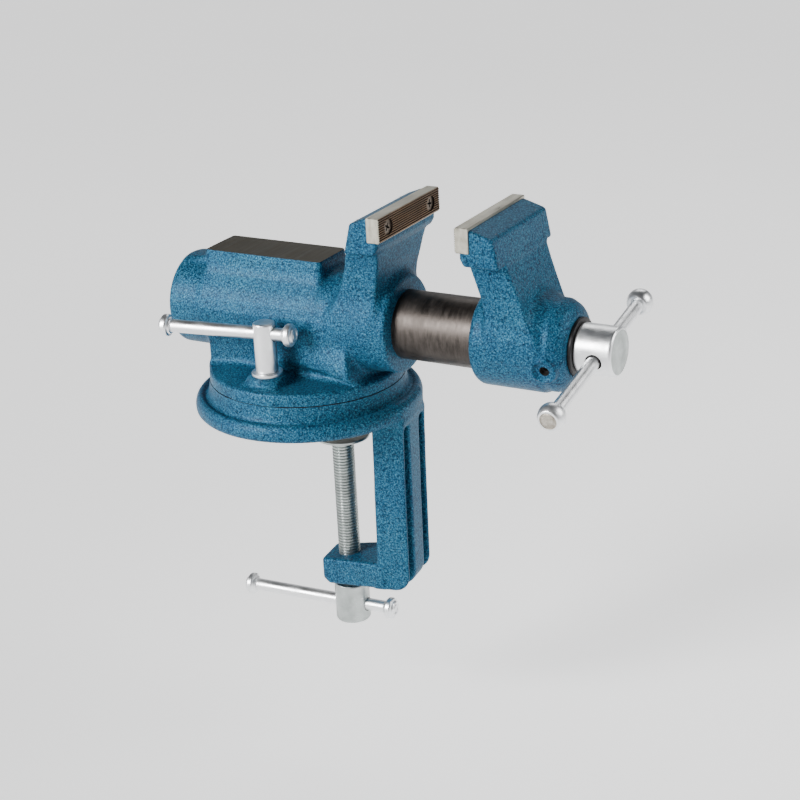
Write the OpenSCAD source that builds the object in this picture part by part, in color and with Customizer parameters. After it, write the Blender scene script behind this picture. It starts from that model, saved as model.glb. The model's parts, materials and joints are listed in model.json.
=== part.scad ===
// Table-clamp bench vise with a swivel base, round slide tube and screwed-in T-handles.
// Millimetres. +X runs along the slide towards the movable jaw, +Y is the jaw width, +Z is up.
// The origin is on the swivel axis, on the flat underside that rests on the table.

/* [Jaws] */
// Length of both jaw plates along Y
jaw_w = 75; // [60:1:100]
// Opening between the plates in the pose drawn
jaw_open = 47.8; // [1:0.1:75]
// Thickness of a jaw plate along the slide
plate_t = 8.7; // [6:0.1:12]
// Height of a jaw plate
plate_h = 14.9; // [10:0.1:20]
// Height of the top edge of both plates
jaw_top_z = 135.7; // [120:0.1:150]
// Position of the fixed plate's clamping face on the slide axis
fixed_face_x = 78.5; // [74:0.1:84]
// Serration ridges on each clamping face
ridge_count = 10; // [6:1:14]
// Depth of the serrations
ridge_depth = 0.6; // [0.2:0.1:1]
// Distance of each plate screw from the middle of the plate
plate_screw_y = 26; // [20:0.5:32]

/* [Fixed body] */
// Height of the slide and main screw axis
axis_z = 60.1; // [55:0.1:66]
// Outer radius of the barrel
barrel_r = 29; // [27:0.1:31]
// Rear end of the barrel
barrel_rear_x = -81.6; // [-84:0.1:-70]
// Outer radius of the front boss around the tube
boss_r = 29.9; // [28:0.1:32]
// Front face of the boss
boss_face_x = 73.4; // [70:0.1:76]
// Height of the anvil flat
anvil_z = 97.7; // [92:0.1:102]
// Half width of the anvil flat
anvil_half_w = 16; // [12:0.5:20]
// Rear end of the anvil flat
anvil_x0 = -58.7; // [-64:0.1:-50]
// Front end of the anvil flat
anvil_x1 = 23.8; // [15:0.1:26]
// Radius of the round foot
foot_r = 61.3; // [58:0.1:64]
// Height of the foot's rim above the seam
foot_rim_h = 7.5; // [6:0.1:10]
// Half width of the pedestal between foot and barrel
pedestal_half_w = 27; // [22:0.5:28]
// Front end of the pedestal
pedestal_x1 = 47; // [40:0.5:52]

/* [Slide tube and movable jaw] */
// Outer radius of the slide tube
tube_r = 21; // [18:0.1:23]
// Wall thickness of the slide tube
tube_wall = 5; // [4:0.1:6]
// Rear end of the tube in the pose drawn
tube_rear_x = -27; // [-30:0.5:-20]
// Outer radius of the movable jaw's hub
hub_r = 28.9; // [27:0.1:31]
// Length of the hub without the washer
hub_len = 58; // [50:0.1:62]
// Thickness of the hub's end wall that takes the screw's thrust
hub_wall = 17; // [12:0.5:20]
// Width of the guide slot under the tube
slot_w = 12; // [10:0.5:14]

/* [Main screw] */
// Major radius of the main screw
screw_r = 9; // [8:0.1:10]
// Lead of the main screw per turn
screw_lead = 4; // [3:0.5:5]
// Radius of the screw head
head_r = 14.7; // [13:0.1:16]
// Length of the screw head
head_len = 23; // [18:0.1:26]
// Radius of the thrust washer
washer_r = 17.5; // [16:0.1:20]
// Thickness of the thrust washer
washer_t = 2.2; // [1.5:0.1:3]
// Length of the main nut
nut_len = 40; // [30:1:46]

/* [Handles] */
// Radius of the three T-bars
bar_r = 4; // [3:0.1:5]
// Distance between the main bar's knob centres
main_bar_len = 130; // [110:1:150]
// How far the main bar hangs through to its low side
main_bar_shift = 7.6; // [0:0.1:40]
// Tilt of the main bar from the jaw width direction
main_bar_tilt = 11; // [-45:1:45]
// Radius of the main bar's ball knobs
ball_r = 8; // [7:0.1:9]
// Distance between the lock bar's knob centres
lock_bar_len = 82.4; // [70:0.1:95]
// How far the lock bar reaches to its long side
lock_bar_reach = 65.9; // [45:0.1:75]
// Turn of the lock bar from the slide direction
lock_bar_turn = 8; // [0:1:15]
// Distance between the clamp bar's knob centres
clamp_bar_len = 102.5; // [85:0.1:120]
// How far the clamp bar reaches to its long side
clamp_bar_reach = 74.9; // [55:0.1:85]
// Turn of the clamp bar from the slide direction
clamp_bar_turn = 3.4; // [-90:0.1:90]
// Radius of the stepped knobs on the lock and clamp bars
disc_r = 7; // [6:0.1:8]

/* [Swivel lock] */
// Lock screw position along the slide
lock_x = -1.5; // [-6:0.1:4]
// Lock screw position across the body
lock_y = -43; // [-46:0.1:-38]
// Height of the boss the lock washer stands on
lock_boss_z = 32.7; // [30:0.1:34]
// Radius of the lock post
post_r = 6.75; // [6:0.05:8]
// Height of the lock post's top
post_top_z = 65.8; // [60:0.1:70]

/* [Swivel base and table clamp] */
// Height of the seam between base and body
seam_z = 19.5; // [16:0.1:24]
// Radius of the base's rim
rim_r = 71.5; // [68:0.1:75]
// Turn of the base against the body in the pose drawn
base_turn = 6; // [0:1:20]
// Radius of the clamp screw
clamp_r = 7; // [6:0.1:8]
// Distance of the clamp screw from the swivel axis
clamp_reach = 21; // [18:0.1:26]
// Half width of the clamp arm
arm_half_w = 18.5; // [15:0.5:22]
// Inner face of the clamp arm
arm_x0 = 49.5; // [46:0.1:54]
// Outer face of the clamp arm
arm_x1 = 70.5; // [66:0.1:74]
// Height of the lug's top at the arm
lug_top_z = -99.5; // [-110:0.1:-90]
// Thickness of the lug
lug_t = 17.6; // [14:0.1:20]
// Radius of the clamp pad
pad_r = 17.5; // [14:0.1:20]
// Radius of the clamp screw's head
clamp_head_r = 11.3; // [10:0.1:13]

/* [Hidden] */
$fn = 96;

// Gap of a running fit on the radius, and of a sliding fit on each side
fit = 0.05;
// Clearance between parts that pass but do not guide each other
gap = 0.3;
// Amount by which cutters run past a face
over = 1;
// Half of the seam between base and body
seam_gap = 0.25;
blue = [0.13, 0.36, 0.53];
steel = [0.36, 0.34, 0.32];
zinc = [0.80, 0.81, 0.83];
black = [0.05, 0.05, 0.06];
brass = [0.72, 0.58, 0.30];

// Movable jaw positions that follow from the opening
moving_face_x = fixed_face_x + jaw_open;
hub_x0 = moving_face_x + 0.6;
hub_x1 = hub_x0 + hub_len;
wall_x = hub_x1 - hub_wall;
head_x0 = hub_x1 + washer_t + 0.1;
head_x1 = head_x0 + head_len;
head_mid_x = (head_x0 + head_x1) / 2 + 1;
tube_bore_r = tube_r - tube_wall;

// Main screw and nut
screw_rear_x = -17;
nut_x0 = -2;
nut_x1 = nut_x0 + nut_len;
nut_r = tube_bore_r - 0.4;
stem_x0 = 8;
stem_x1 = 30;
stem_floor_z = 31;
slot_front_x = stem_x1 + jaw_open + 3;
chamfer = 1.2;

// Screw that keeps the main screw in the hub, and the pin that keeps the tube in it
set_x = hub_x1 - 10.2;
set_tilt = 16;
set_r = 3;
dog_r = 2;
dog_depth_r = 7.1;
set_root_r = 11.5;
set_len = 13;
screw_groove_r = 6.8;
pad_boss_r = 6.5;
tube_pin_x = hub_x0 + 24;
tube_pin_r = 3;

// Pivot and nut bolt
pivot_r = 6;
pivot_top_z = 33.5;
pivot_head_r = 9;
pivot_head_z0 = 1;
pivot_head_z1 = 9;
recess_r = 10;
recess_z = 10.7;
plug_t = 0.8;
hex_r = 5.5;
nut_bolt_x = 19;
nut_bolt_r = 4;
nut_bolt_top_z = 45;
nut_bolt_head_r = 6.5;
nut_bolt_head_z = 27.9;

// Bevel around the rear end of the barrel
rear_edge = 1.2;

// Jaw block profiles: ledge and corner positions measured from the plate
ledge_z = jaw_top_z - plate_h;
block_bottom_z = 112.6;
block_half_w = jaw_w / 2 - 1;
neck_top_half_w = 31;
neck_low_half_w = 26.5;
plate_margin = 0.7;
crest_share = 0.26;
plate_screw_r = 2.5;
plate_head_r = 4.7;
plate_head_t = 3;
plate_screw_len = 20;
plate_screw_z = jaw_top_z - plate_h / 2;

// Lock screw
lock_thread_r = 6;
lock_washer_r = 9.6;
lock_washer_t = 2;
lock_hole_z = lock_boss_z + 26.1;
lock_boss_r = 12;

// Clamp
clamp_x = clamp_reach;
pad_edge_t = 2;
pad_top_z = -19.9;
pad_recess_r = 8.5;
pad_floor_z = pad_top_z - 1.9;
pad_collar_r = 10;
pad_collar_z = pad_top_z - 4.8;
pad_bore_r = 5;
clip_z0 = pad_floor_z + 0.1;
clip_t = 0.8;
clip_r = 7.2;
groove_r = 4.2;
tip_top_z = pad_top_z - 0.3;
shoulder_z = pad_collar_z - 0.1;
clamp_head_z1 = -123.5;
clamp_head_z0 = -150.2;
clamp_hole_z = -139.5;
lug_tip_x = 6.4;
lug_tip_half_w = 12.5;
lug_drop = 5;
corner_r = 11;

// Cylinder along X about the slide axis
module on_axis(x0, x1, r) {
  translate([x0, 0, axis_z])
    rotate([0, 90, 0])
      cylinder(h = x1 - x0, r = r);
}

// Solid of revolution about the slide axis, from a profile of radius and position along X
module turned_on_axis(profile) {
  translate([0, 0, axis_z])
    rotate([0, 90, 0])
      rotate_extrude()
        polygon(profile);
}

// Upright cylinder between two heights
module upright(z0, z1, r) {
  translate([0, 0, z0])
    cylinder(h = z1 - z0, r = r);
}

// Flat outline in X and Z, extruded to both sides of the middle plane
module side_outline(points, half_w) {
  translate([0, half_w, 0])
    rotate([90, 0, 0])
      linear_extrude(height = 2 * half_w)
        polygon(points);
}

// Thin level slab, used as the end of a tapering casting wall
module slab(x0, x1, half_w, z) {
  translate([x0, -half_w, z])
    cube([x1 - x0, 2 * half_w, 0.5]);
}

// T-bar along X with its middle at the origin, thinner where it passes into the knobs
module t_bar(len) {
  body_len = len - 8;
  translate([-body_len / 2, 0, 0])
    rotate([0, 90, 0])
      cylinder(h = body_len, r = bar_r);
  translate([-len / 2 - 3.6, 0, 0])
    rotate([0, 90, 0])
      cylinder(h = len + 7.2, r = bar_r - 1);
}

// Ball knob with both poles cut flat, along X
module ball_knob() {
  flat = 5.2;
  difference() {
    intersection() {
      sphere(r = ball_r);
      translate([-flat, -ball_r, -ball_r])
        cube([2 * flat, 2 * ball_r, 2 * ball_r]);
    }
    translate([-flat - over, 0, 0])
      rotate([0, 90, 0])
        cylinder(h = flat + over + 3.6, r = bar_r - 1);
    translate([-flat - over, 0, 0])
      rotate([0, 90, 0])
        cylinder(h = flat - 4 + over, r = bar_r);
  }
}

// Stepped disc knob along X, with its collar towards the middle of the bar
module disc_knob() {
  profile = [[3, -4], [4, -4], [4.8, -3.6], [5.4, -2.4], [6.4, -2], [disc_r, -1.2],
    [disc_r, 1.2], [6.4, 2], [5, 2.2], [4.6, 3.2], [4.1, 3.6], [3, 3.6]];
  rotate([0, 90, 0])
    rotate_extrude()
      polygon(profile);
}

// Blank of a jaw plate: serrated face towards +X at x = 0, plate behind it
module plate_blank() {
  pitch = (plate_h - 2 * plate_margin) / ridge_count;
  z0 = ledge_z + plate_margin;
  // Each ridge rises from its valley to a narrow flat crest
  teeth = [for (i = [0 : ridge_count - 1], s = [0, 0.5 - crest_share / 2, 0.5 + crest_share / 2])
    [s == 0 ? -ridge_depth : 0, z0 + pitch * (i + s)]];
  side_outline(concat([[-plate_t, ledge_z], [-ridge_depth, ledge_z]], teeth,
    [[-ridge_depth, jaw_top_z - plate_margin], [-ridge_depth, jaw_top_z], [-plate_t, jaw_top_z]]),
    jaw_w / 2);
}

// Countersunk screw along X, head flush below a face at x = 0 that looks to +X
module plate_screw(clear) {
  sink = 1;
  rotate([0, -90, 0]) {
    translate([0, 0, sink])
      cylinder(h = plate_head_t, r1 = plate_head_r + clear, r2 = plate_screw_r + clear);
    translate([0, 0, sink])
      cylinder(h = plate_screw_len + clear, r = plate_screw_r + clear);
  }
}

// The two screws of one plate, in the plate blank's own position
module plate_screw_pair(clear) {
  for (side = [-1, 1])
    translate([0, side * plate_screw_y, plate_screw_z])
      plate_screw(clear);
}

// Clearance cut for the plate screws, open through the serrated face
module plate_screw_cut() {
  plate_screw_pair(fit);
  for (side = [-1, 1])
    translate([-over, side * plate_screw_y, plate_screw_z])
      rotate([0, 90, 0])
        cylinder(h = 2 * over, r = plate_head_r + fit);
}

// Main bar's frame: middle of the bar, with X along the bar towards its high knob
module in_main_bar() {
  translate([head_mid_x, 0, axis_z])
    rotate([0, 0, 90])
      rotate([0, -main_bar_tilt, 0])
        translate([-main_bar_shift, 0, 0])
          children();
}

// Lock bar's frame: middle of the bar, with X along the bar towards its short side
module in_lock_bar() {
  translate([lock_x, lock_y, lock_hole_z])
    rotate([0, 0, lock_bar_turn])
      translate([lock_bar_len / 2 - lock_bar_reach, 0, 0])
        children();
}

// Base frame, turned about the swivel axis
module in_base() {
  rotate([0, 0, base_turn])
    children();
}

// Clamp screw axis
module in_clamp() {
  in_base()
    translate([clamp_x, 0, 0])
      children();
}

// Clamp bar's frame: middle of the bar, with X along the bar towards its short side
module in_clamp_bar() {
  in_clamp()
    translate([0, 0, clamp_hole_z])
      rotate([0, 0, clamp_bar_turn - base_turn])
        translate([clamp_bar_len / 2 - clamp_bar_reach, 0, 0])
          children();
}

// Jaw block and neck of the fixed jaw
module fixed_jaw_solid() {
  back_x = fixed_face_x - plate_t;
  side_outline([[53, block_bottom_z - 0.7], [73, block_bottom_z], [75.4, ledge_z - 4],
    [75.4, ledge_z], [back_x, ledge_z], [back_x, jaw_top_z - 1], [back_x - 1.6, jaw_top_z - 1],
    [57.6, 130.6]], block_half_w);
  hull() {
    slab(50, 72, neck_top_half_w, block_bottom_z - 0.5);
    slab(45, 68, neck_low_half_w, 92);
  }
  hull() {
    slab(45, 68, neck_low_half_w, 92);
    slab(36, 64, neck_low_half_w, axis_z + 8);
  }
}

// Foot disc with its coned top, pedestal and lock boss
module foot_solid() {
  bottom = seam_z + seam_gap;
  rim_z = seam_z + foot_rim_h;
  upright(bottom, rim_z - 2, foot_r);
  translate([0, 0, rim_z - 2])
    cylinder(h = 2, r1 = foot_r, r2 = foot_r - 2);
  translate([0, 0, rim_z])
    cylinder(h = 5, r1 = foot_r - 2, r2 = foot_r - 24);
  intersection() {
    upright(bottom, axis_z, foot_r - 0.6);
    translate([-foot_r, -pedestal_half_w, bottom])
      cube([foot_r + pedestal_x1, 2 * pedestal_half_w, axis_z - bottom]);
  }
  hull() {
    translate([lock_x, lock_y, seam_z + 1])
      cylinder(h = lock_boss_z - seam_z - 1, r = lock_boss_r, $fn = 32);
    translate([lock_x + 1.5, lock_y - 5.5, seam_z + 1])
      cylinder(h = foot_rim_h - 2, r = lock_boss_r - 0.2, $fn = 32);
  }
}

module body_casting() {
  bore_r = tube_r + fit;
  cap_r = tube_r + 2.5;
  color(blue)
    difference() {
      union() {
        on_axis(barrel_rear_x + rear_edge, boss_face_x - 8, barrel_r);
        turned_on_axis([[0, barrel_rear_x], [barrel_r - rear_edge, barrel_rear_x],
          [barrel_r, barrel_rear_x + rear_edge], [0, barrel_rear_x + rear_edge]]);
        turned_on_axis([[0, 40], [barrel_r, 40], [boss_r, 56], [boss_r, boss_face_x - 2],
          [boss_r - 2, boss_face_x], [0, boss_face_x]]);
        side_outline([[anvil_x0, axis_z], [anvil_x0, anvil_z], [anvil_x1, anvil_z],
          [anvil_x1 + 1.5, anvil_z - 12], [anvil_x1 + 18, axis_z + 18], [anvil_x1 + 18, axis_z]],
          anvil_half_w);
        hull() {
          translate([anvil_x0, -anvil_half_w, anvil_z - 2])
            cube([anvil_x1 - anvil_x0, 2 * anvil_half_w, 1]);
          translate([anvil_x0, -barrel_r + 2.5, axis_z + 11])
            cube([anvil_x1 - anvil_x0, 2 * barrel_r - 5, 1]);
        }
        fixed_jaw_solid();
        foot_solid();
      }
      on_axis(barrel_rear_x - over, boss_face_x + over, bore_r);
      on_axis(barrel_rear_x - over, barrel_rear_x + 3.5, cap_r);
      translate([stem_x0 - fit, -slot_w / 2, stem_floor_z])
        cube([stem_x1 - stem_x0 + 2 * fit, slot_w, axis_z - stem_floor_z]);
      translate([nut_bolt_x, 0, 0])
        upright(seam_z - over, nut_bolt_head_z, nut_bolt_head_r + 0.5);
      translate([nut_bolt_x, 0, 0])
        upright(nut_bolt_head_z - over, stem_floor_z + over, nut_bolt_r + 0.1);
      upright(seam_z - over, pivot_top_z + 0.5, pivot_r + fit);
      translate([lock_x, lock_y, 0])
        upright(seam_z - over, lock_boss_z + over, lock_thread_r + fit);
      translate([fixed_face_x, 0, 0])
        plate_screw_pair(fit);
    }
}

module fixed_jaw_plate() {
  color(steel)
    translate([fixed_face_x, 0, 0])
      difference() {
        plate_blank();
        plate_screw_cut();
      }
}

module fixed_plate_screws() {
  color(black)
    translate([fixed_face_x, 0, 0])
      plate_screw_pair(0);
}

module rear_cap() {
  color(black)
    turned_on_axis([[0, barrel_rear_x + 0.6], [tube_r + 2.1, barrel_rear_x + 0.6],
      [tube_r + 2.5, barrel_rear_x + 1], [tube_r + 2.5, barrel_rear_x + 3.5],
      [0, barrel_rear_x + 3.5]]);
}

module main_nut() {
  color(brass)
    difference() {
      union() {
        on_axis(nut_x0, nut_x1, nut_r);
        translate([stem_x0, -slot_w / 2 + fit, stem_floor_z])
          cube([stem_x1 - stem_x0, slot_w - 2 * fit, axis_z - stem_floor_z]);
      }
      on_axis(nut_x0 - over, nut_x1 + over, screw_r + fit);
      translate([nut_bolt_x, 0, 0])
        upright(stem_floor_z - over, nut_bolt_top_z + 0.5, nut_bolt_r + fit);
    }
}

module nut_bolt() {
  color(black)
    translate([nut_bolt_x, 0, 0])
      difference() {
        union() {
          upright(nut_bolt_head_z - 8, nut_bolt_head_z, nut_bolt_head_r);
          upright(nut_bolt_head_z - 1, nut_bolt_top_z, nut_bolt_r);
        }
        translate([0, 0, nut_bolt_head_z - 8 - over])
          cylinder(h = 4 + over, r = 3.5, $fn = 6);
      }
}

module pivot_bolt() {
  color(zinc)
    difference() {
      union() {
        upright(pivot_head_z0, pivot_head_z1, pivot_head_r);
        upright(pivot_head_z1 - 1, pivot_top_z, pivot_r);
      }
      translate([0, 0, pivot_head_z0 - over])
        cylinder(h = 5 + over, r = hex_r, $fn = 6);
    }
}

module pivot_washer() {
  color(zinc)
    difference() {
      upright(pivot_head_z1, recess_z - 0.2, recess_r - 0.5);
      upright(pivot_head_z1 - over, recess_z + over, pivot_r + fit);
    }
}

module lock_washer() {
  color(zinc)
    translate([lock_x, lock_y, 0])
      difference() {
        upright(lock_boss_z, lock_boss_z + lock_washer_t, lock_washer_r);
        upright(lock_boss_z - over, lock_boss_z + lock_washer_t + over, lock_thread_r + fit);
      }
}

module lock_shoe() {
  color(brass)
    translate([lock_x, lock_y, 0])
      upright(seam_z + 0.1, seam_z + 3, lock_thread_r);
}

module lock_screw() {
  post_z0 = lock_boss_z + lock_washer_t + 0.1;
  color(zinc)
    difference() {
      translate([lock_x, lock_y, 0]) {
        upright(seam_z + 3.1, post_z0 + 1, lock_thread_r);
        upright(post_z0, post_top_z - 0.8, post_r);
        translate([0, 0, post_top_z - 0.8])
          cylinder(h = 0.8, r1 = post_r, r2 = post_r - 0.8);
      }
      translate([lock_x, lock_y, lock_hole_z])
        rotate([0, 90, lock_bar_turn])
          cylinder(h = 4 * post_r, r = bar_r + fit, center = true);
    }
}

module lock_bar() {
  color(zinc)
    in_lock_bar()
      t_bar(lock_bar_len);
}

module lock_knob_long() {
  color(zinc)
    in_lock_bar()
      translate([-lock_bar_len / 2, 0, 0])
        mirror([1, 0, 0])
          disc_knob();
}

module lock_knob_short() {
  color(zinc)
    in_lock_bar()
      translate([lock_bar_len / 2, 0, 0])
        disc_knob();
}

module jaw_casting() {
  plate_back_x = moving_face_x + plate_t;
  // Outline of the jaw block, measured from the back of the plate
  block = [[plate_back_x - 6.4, ledge_z], [plate_back_x - 6.4, ledge_z - 4],
    [plate_back_x - 4, block_bottom_z], [plate_back_x + 17.8, block_bottom_z - 0.2],
    [plate_back_x + 14.4, 129.2], [plate_back_x + 12.8, 130.4],
    [plate_back_x + 0.8, jaw_top_z - 1.6], [plate_back_x, jaw_top_z - 1.6], [plate_back_x, ledge_z]];
  color(blue)
    difference() {
      union() {
        turned_on_axis([[0, hub_x0], [hub_r - 3.5, hub_x0], [hub_r - 1.1, hub_x0 + 1.1],
          [hub_r, hub_x0 + 3.5], [hub_r, hub_x1 - 13], [hub_r - 1.6, hub_x1 - 7.5],
          [hub_r - 5.2, hub_x1 - 2.6], [hub_r - 9.3, hub_x1], [0, hub_x1]]);
        side_outline(block, block_half_w);
        hull() {
          slab(plate_back_x - 3.6, plate_back_x + 17.4, neck_top_half_w, block_bottom_z);
          slab(plate_back_x + 1, plate_back_x + 25.6, neck_low_half_w, 92);
        }
        hull() {
          slab(plate_back_x + 1, plate_back_x + 25.6, neck_low_half_w, 92);
          slab(plate_back_x + 4.5, plate_back_x + 34, neck_low_half_w, axis_z + 9);
        }
        translate([set_x, 0, axis_z])
          rotate([90 + set_tilt, 0, 0])
            cylinder(h = hub_r + 0.8, r = pad_boss_r);
      }
      on_axis(hub_x0 - over, wall_x, tube_r);
      on_axis(wall_x - over, hub_x1 + over, screw_r + fit);
      translate([set_x, 0, axis_z])
        rotate([90 + set_tilt, 0, 0])
          cylinder(h = 2 * hub_r, r = set_r + fit);
      translate([tube_pin_x, 0, 0])
        upright(axis_z - hub_r - over, axis_z, tube_pin_r);
      translate([moving_face_x, 0, 0])
        mirror([1, 0, 0])
          plate_screw_pair(fit);
    }
}

module slide_tube() {
  color(steel)
    difference() {
      on_axis(tube_rear_x, wall_x, tube_r);
      on_axis(tube_rear_x - over, wall_x + over, tube_bore_r);
      translate([tube_rear_x - over, -slot_w / 2, axis_z - tube_r - over])
        cube([slot_front_x - tube_rear_x + over, slot_w, tube_r]);
      translate([tube_pin_x, 0, 0])
        upright(axis_z - hub_r, axis_z, tube_pin_r);
    }
}

module moving_jaw_plate() {
  color(steel)
    translate([moving_face_x, 0, 0])
      mirror([1, 0, 0])
        difference() {
          plate_blank();
          plate_screw_cut();
        }
}

module moving_plate_screws() {
  color(black)
    translate([moving_face_x, 0, 0])
      mirror([1, 0, 0])
        plate_screw_pair(0);
}

module hub_set_screw() {
  color(black)
    translate([set_x, 0, axis_z])
      rotate([90 + set_tilt, 0, 0])
        difference() {
          union() {
            upright(dog_depth_r, set_root_r + over, dog_r);
            upright(set_root_r, set_root_r + set_len, set_r);
          }
          translate([0, 0, set_root_r + set_len - 3])
            cylinder(h = 3 + over, r = 1.7, $fn = 6);
        }
}

module tube_pin() {
  color(black)
    translate([tube_pin_x, 0, 0])
      upright(axis_z - hub_r + 0.8, axis_z - tube_bore_r, tube_pin_r);
}

module thrust_washer() {
  color(black)
    difference() {
      on_axis(hub_x1, hub_x1 + washer_t, washer_r);
      on_axis(hub_x1 - over, hub_x1 + washer_t + over, screw_r + fit);
    }
}

module main_screw() {
  color(zinc)
    difference() {
      union() {
        on_axis(screw_rear_x + 2, head_x0 + over, screw_r);
        turned_on_axis([[0, screw_rear_x], [screw_r - 2, screw_rear_x], [screw_r, screw_rear_x + 2],
          [0, screw_rear_x + 2]]);
        turned_on_axis([[0, head_x0], [head_r, head_x0], [head_r, head_x1 - chamfer],
          [head_r - chamfer, head_x1], [0, head_x1]]);
      }
      translate([head_mid_x, 0, axis_z])
        rotate([90 + main_bar_tilt, 0, 0])
          cylinder(h = 4 * head_r, r = bar_r + fit, center = true);
      difference() {
        on_axis(set_x - dog_r - gap, set_x + dog_r + gap, screw_r + over);
        on_axis(set_x - dog_r - gap - over, set_x + dog_r + gap + over, screw_groove_r);
      }
    }
}

module main_bar() {
  color(zinc)
    in_main_bar()
      t_bar(main_bar_len);
}

module main_knob_low() {
  color(zinc)
    in_main_bar()
      translate([-main_bar_len / 2, 0, 0])
        mirror([1, 0, 0])
          ball_knob();
}

module main_knob_high() {
  color(zinc)
    in_main_bar()
      translate([main_bar_len / 2, 0, 0])
        ball_knob();
}

module base_casting() {
  top = seam_z - seam_gap;
  // Turned section of the base: top ring, cove and rounded rim
  section = [[0, 0], [rim_r - 1.8, 0], [rim_r - 0.7, 0.5], [rim_r - 0.1, 1.6], [rim_r, 5],
    [rim_r - 0.8, 7.8], [rim_r - 2.4, 9.8], [rim_r - 4.4, 10.5], [foot_r + 3.4, 9.9], [foot_r + 1.8, 12],
    [foot_r + 0.8, 15], [foot_r + 0.2, top], [0, top]];
  lug_root_z = lug_top_z;
  // Rounded outer corner where the arm turns into the lug
  corner = [for (a = [0 : 15 : 90])
    [arm_x1 - 0.6 - corner_r * (1 - cos(a)), lug_root_z - lug_t + corner_r * (1 - sin(a))]];
  color(blue)
    in_base()
      difference() {
        union() {
          rotate_extrude()
            polygon(section);
          difference() {
            side_outline(concat([[arm_x0 - 1.5, lug_root_z], [arm_x0, -4], [arm_x0, 9],
              [arm_x1 + 1.6, 9], [arm_x1, -14]], corner,
              [[arm_x0 - 4, lug_root_z - lug_t - 0.6]]), arm_half_w);
            for (side = [-1, 1])
              translate([arm_x1 - 7, side * 12 - 3.8, lug_root_z - lug_t - over])
                cube([20, 7.6, -lug_root_z + lug_t - 8]);
          }
          hull() {
            translate([arm_x0 - 1, -arm_half_w, lug_root_z - lug_t])
              cube([1, 2 * arm_half_w, lug_t]);
            translate([lug_tip_x, -lug_tip_half_w, lug_root_z - lug_drop - lug_t + 3])
              cube([1, 2 * lug_tip_half_w, lug_t - 3]);
            translate([lug_tip_x + 4, -lug_tip_half_w, lug_root_z - lug_drop - lug_t])
              cube([1, 2 * lug_tip_half_w, lug_t]);
          }
        }
        upright(-over, recess_z, recess_r);
        upright(recess_z - over, top + over, pivot_r + fit);
        translate([clamp_x, 0, 0])
          upright(lug_root_z - lug_t - 10, lug_root_z + 10, clamp_r + fit);
      }
}

module recess_plug() {
  color(zinc)
    in_base()
      upright(0, plug_t, recess_r);
}

module clamp_pad() {
  edge_z = pad_top_z - pad_edge_t;
  color(zinc)
    in_clamp()
      difference() {
        union() {
          translate([0, 0, pad_top_z - 0.4])
            cylinder(h = 0.4, r1 = pad_r, r2 = pad_r - 0.4);
          upright(edge_z, pad_top_z - 0.4, pad_r);
          translate([0, 0, edge_z - 1.2])
            cylinder(h = 1.2, r1 = pad_collar_r + 1, r2 = pad_r - 1);
          upright(pad_collar_z, edge_z, pad_collar_r);
        }
        upright(pad_collar_z - over, pad_top_z, pad_bore_r + fit);
        upright(pad_floor_z, pad_top_z + over, pad_recess_r);
      }
}

module pad_circlip() {
  color(black)
    in_clamp()
      difference() {
        upright(clip_z0, clip_z0 + clip_t, clip_r);
        upright(clip_z0 - over, clip_z0 + clip_t + over, groove_r);
      }
}

module clamp_screw() {
  color(zinc)
    in_clamp()
      difference() {
        union() {
          upright(clip_z0 + clip_t + fit, tip_top_z, pad_bore_r);
          upright(clip_z0 - over, tip_top_z, groove_r);
          upright(shoulder_z, clip_z0 - fit, pad_bore_r);
          upright(clamp_head_z1 - over, shoulder_z, clamp_r);
          upright(clamp_head_z0 + chamfer, clamp_head_z1 - chamfer, clamp_head_r);
          translate([0, 0, clamp_head_z0])
            cylinder(h = chamfer, r1 = clamp_head_r - chamfer, r2 = clamp_head_r);
          translate([0, 0, clamp_head_z1 - chamfer])
            cylinder(h = chamfer, r1 = clamp_head_r, r2 = clamp_head_r - chamfer);
        }
        translate([0, 0, clamp_hole_z])
          rotate([0, 90, clamp_bar_turn - base_turn])
            cylinder(h = 4 * clamp_head_r, r = bar_r + fit, center = true);
      }
}

module clamp_bar() {
  color(zinc)
    in_clamp_bar()
      t_bar(clamp_bar_len);
}

module clamp_knob_long() {
  color(zinc)
    in_clamp_bar()
      translate([-clamp_bar_len / 2, 0, 0])
        mirror([1, 0, 0])
          disc_knob();
}

module clamp_knob_short() {
  color(zinc)
    in_clamp_bar()
      translate([clamp_bar_len / 2, 0, 0])
        disc_knob();
}

body_casting();
fixed_jaw_plate();
fixed_plate_screws();
rear_cap();
main_nut();
nut_bolt();
pivot_bolt();
pivot_washer();
lock_washer();
lock_shoe();
lock_screw();
lock_bar();
lock_knob_long();
lock_knob_short();
jaw_casting();
slide_tube();
moving_jaw_plate();
moving_plate_screws();
hub_set_screw();
tube_pin();
thrust_washer();
main_screw();
main_bar();
main_knob_low();
main_knob_high();
base_casting();
recess_plug();
clamp_pad();
pad_circlip();
clamp_screw();
clamp_bar();
clamp_knob_long();
clamp_knob_short();
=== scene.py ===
import json
import math

import bmesh
import bpy
import numpy as np
import openvdb
from mathutils import Matrix, Vector


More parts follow.
